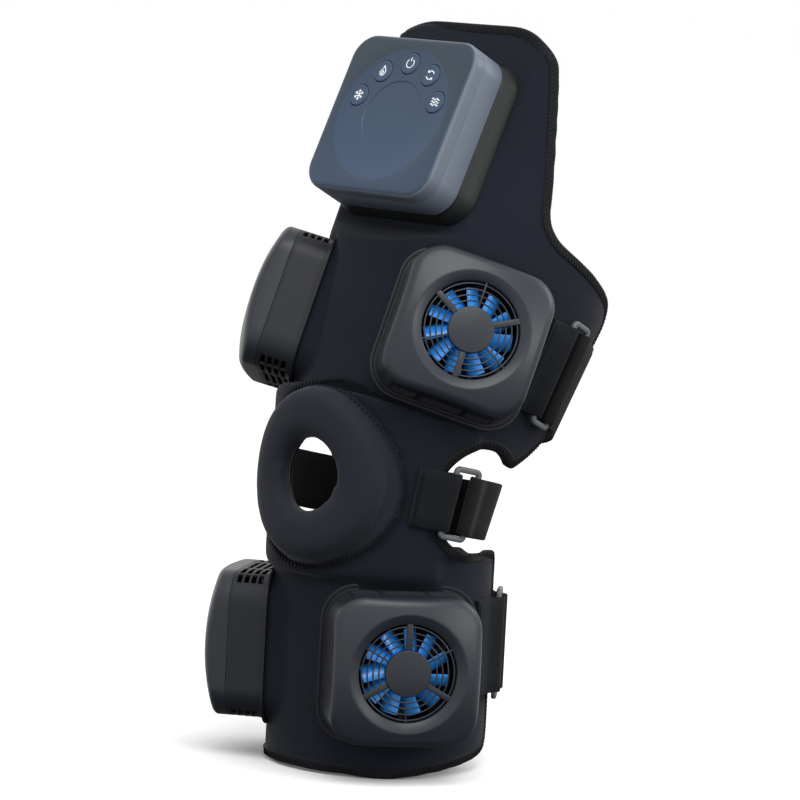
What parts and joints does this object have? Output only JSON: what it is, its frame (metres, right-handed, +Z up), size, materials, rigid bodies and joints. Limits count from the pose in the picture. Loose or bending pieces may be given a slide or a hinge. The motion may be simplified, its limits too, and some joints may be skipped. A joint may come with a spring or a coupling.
{
  "type": "hot cold therapy knee wrap",
  "caption": "Knee wrap with fan-cooled thermal modules on thigh and calf cuffs, a control unit with round keys on a tall tongue, a padded kneecap ring and ring-and-strap closures.",
  "frame": {"origin": "middle of the knee's bending axis, on the axis of the leg channel", "axes": "+X to the leg's outer side, -Y to the front, +Z up along the shin; the thigh cuff leans back by 22.5 degrees at rest"},
  "size_m": [0.235, 0.2246, 0.447],
  "materials": {
    "neoprene": "closed-cell foam cloth with a knitted face",
    "pad_cloth": "padded, zigzag stitched",
    "webbing": "brushed loop webbing",
    "cover_plastic": "fine satin moulding",
    "housing_plastic": "satin moulding",
    "fan_plastic": "moulded, glossy",
    "fan_frame_plastic": "moulded",
    "heat_sink_metal": "extruded",
    "plate_metal": "anodised",
    "tile_ceramic": "ceramic",
    "motor_metal": "stamped",
    "unit_plastic": "fine satin moulding",
    "unit_side_plastic": "fine satin moulding",
    "dock_plastic": "satin moulding",
    "button_plastic": "satin key cap",
    "board_laminate": "solder-masked laminate",
    "cell_wrap": "shrink sleeve",
    "port_metal": "stamped",
    "ring_plastic": "satin moulding"
  },
  "bodies": {
    "thigh_cuff": {"thigh_wrap": "neoprene", "thigh_inner_module_cover": "cover_plastic", "thigh_inner_module_housing": "housing_plastic", "thigh_inner_fan_frame": "fan_frame_plastic", "thigh_inner_heat_sink": "heat_sink_metal", "thigh_inner_peltier_tile": "tile_ceramic", "thigh_inner_cold_plate": "plate_metal", "thigh_inner_vibration_motor": "motor_metal", "thigh_outer_module_cover": "cover_plastic", "thigh_outer_module_housing": "housing_plastic", "thigh_outer_fan_frame": "fan_frame_plastic", "thigh_outer_heat_sink": "heat_sink_metal", "thigh_outer_peltier_tile": "tile_ceramic", "thigh_outer_cold_plate": "plate_metal", "thigh_outer_vibration_motor": "motor_metal", "control_dock": "dock_plastic", "control_rear_shell": "unit_side_plastic", "control_front_shell": "unit_plastic", "circuit_board": "board_laminate", "battery_cells": "cell_wrap", "charge_port": "port_metal", "thigh_ring_tab": "neoprene", "thigh_strap": "webbing"},
    "calf_cuff": {"calf_wrap": "neoprene", "calf_inner_module_cover": "cover_plastic", "calf_inner_module_housing": "housing_plastic", "calf_inner_fan_frame": "fan_frame_plastic", "calf_inner_heat_sink": "heat_sink_metal", "calf_inner_peltier_tile": "tile_ceramic", "calf_inner_cold_plate": "plate_metal", "calf_inner_vibration_motor": "motor_metal", "calf_outer_module_cover": "cover_plastic", "calf_outer_module_housing": "housing_plastic", "calf_outer_fan_frame": "fan_frame_plastic", "calf_outer_heat_sink": "heat_sink_metal", "calf_outer_peltier_tile": "tile_ceramic", "calf_outer_cold_plate": "plate_metal", "calf_outer_vibration_motor": "motor_metal", "calf_ring_tab": "neoprene", "calf_strap": "webbing"},
    "knee_band": {"knee_panel": "neoprene", "patella_pad": "pad_cloth", "knee_ring_tab": "neoprene", "knee_strap": "webbing"},
    "thigh_ring": {"thigh_ring": "ring_plastic"},
    "knee_ring": {"knee_ring": "ring_plastic"},
    "calf_ring": {"calf_ring": "ring_plastic"},
    "thigh_inner_fan": {"thigh_inner_fan_rotor": "fan_plastic"},
    "thigh_outer_fan": {"thigh_outer_fan_rotor": "fan_plastic"},
    "calf_inner_fan": {"calf_inner_fan_rotor": "fan_plastic"},
    "calf_outer_fan": {"calf_outer_fan_rotor": "fan_plastic"},
    "button_cold": {"button_cold": "button_plastic"},
    "button_heat": {"button_heat": "button_plastic"},
    "button_power": {"button_power": "button_plastic"},
    "button_contrast": {"button_contrast": "button_plastic"},
    "button_vibration": {"button_vibration": "button_plastic"}
  },
  "joints": [
    {"name": "knee_flex", "type": "hinge", "parent": "thigh_cuff", "child": "calf_cuff", "pos_m": [0, 0, 0], "axis": [1, 0, 0], "range_deg": [-22.5, 20], "deforming": ["knee_panel", "patella_pad"]},
    {"name": "knee_band_follow", "type": "hinge", "parent": "thigh_cuff", "child": "knee_band", "pos_m": [0, 0, 0], "axis": [1, 0, 0], "range_deg": [-11.25, 10]},
    {"name": "thigh_ring_tilt", "type": "hinge", "parent": "thigh_cuff", "child": "thigh_ring", "pos_m": [0.08811, 0.03556, 0.07727], "axis": [0.1073, 0.3997, 0.9104], "range_deg": [-2, 2]},
    {"name": "knee_ring_tilt", "type": "hinge", "parent": "knee_band", "child": "knee_ring", "pos_m": [0.07584, -0.03554, -0.00007], "axis": [0.1203, 0.1642, 0.9791], "range_deg": [-2, 2]},
    {"name": "calf_ring_tilt", "type": "hinge", "parent": "calf_cuff", "child": "calf_ring", "pos_m": [0.05917, 0.02823, -0.092], "axis": [0, 0, 1], "range_deg": [-2, 2]},
    {"name": "thigh_inner_fan_spin", "type": "hinge", "parent": "thigh_cuff", "child": "thigh_inner_fan", "pos_m": [-0.08384, -0.03495, 0.10248], "axis": [-0.788, -0.5688, 0.2356], "continuous": true},
    {"name": "thigh_outer_fan_spin", "type": "hinge", "parent": "thigh_cuff", "child": "thigh_outer_fan", "pos_m": [0.08384, -0.03495, 0.10248], "axis": [0.788, -0.5688, 0.2356], "continuous": true},
    {"name": "calf_inner_fan_spin", "type": "hinge", "parent": "calf_cuff", "child": "calf_inner_fan", "pos_m": [-0.07461, -0.06333, -0.1], "axis": [-0.829, -0.5592, 0], "continuous": true},
    {"name": "calf_outer_fan_spin", "type": "hinge", "parent": "calf_cuff", "child": "calf_outer_fan", "pos_m": [0.07461, -0.06333, -0.1], "axis": [0.829, -0.5592, 0], "continuous": true},
    {"name": "button_cold_press", "type": "slide", "parent": "thigh_cuff", "child": "button_cold", "axis": [-0.0174, 0.9024, -0.4305], "range_m": [0, 0.0008], "stiffness_N_per_m": 900},
    {"name": "button_heat_press", "type": "slide", "parent": "thigh_cuff", "child": "button_heat", "axis": [-0.0174, 0.9024, -0.4305], "range_m": [0, 0.0008], "stiffness_N_per_m": 900},
    {"name": "button_power_press", "type": "slide", "parent": "thigh_cuff", "child": "button_power", "axis": [-0.0174, 0.9024, -0.4305], "range_m": [0, 0.0008], "stiffness_N_per_m": 900},
    {"name": "button_contrast_press", "type": "slide", "parent": "thigh_cuff", "child": "button_contrast", "axis": [-0.0174, 0.9024, -0.4305], "range_m": [0, 0.0008], "stiffness_N_per_m": 900},
    {"name": "button_vibration_press", "type": "slide", "parent": "thigh_cuff", "child": "button_vibration", "axis": [-0.0174, 0.9024, -0.4305], "range_m": [0, 0.0008], "stiffness_N_per_m": 900}
  ],
  "couplings": [
    {"joint": "knee_band_follow", "follows": "knee_flex", "ratio": 0.5}
  ]
}
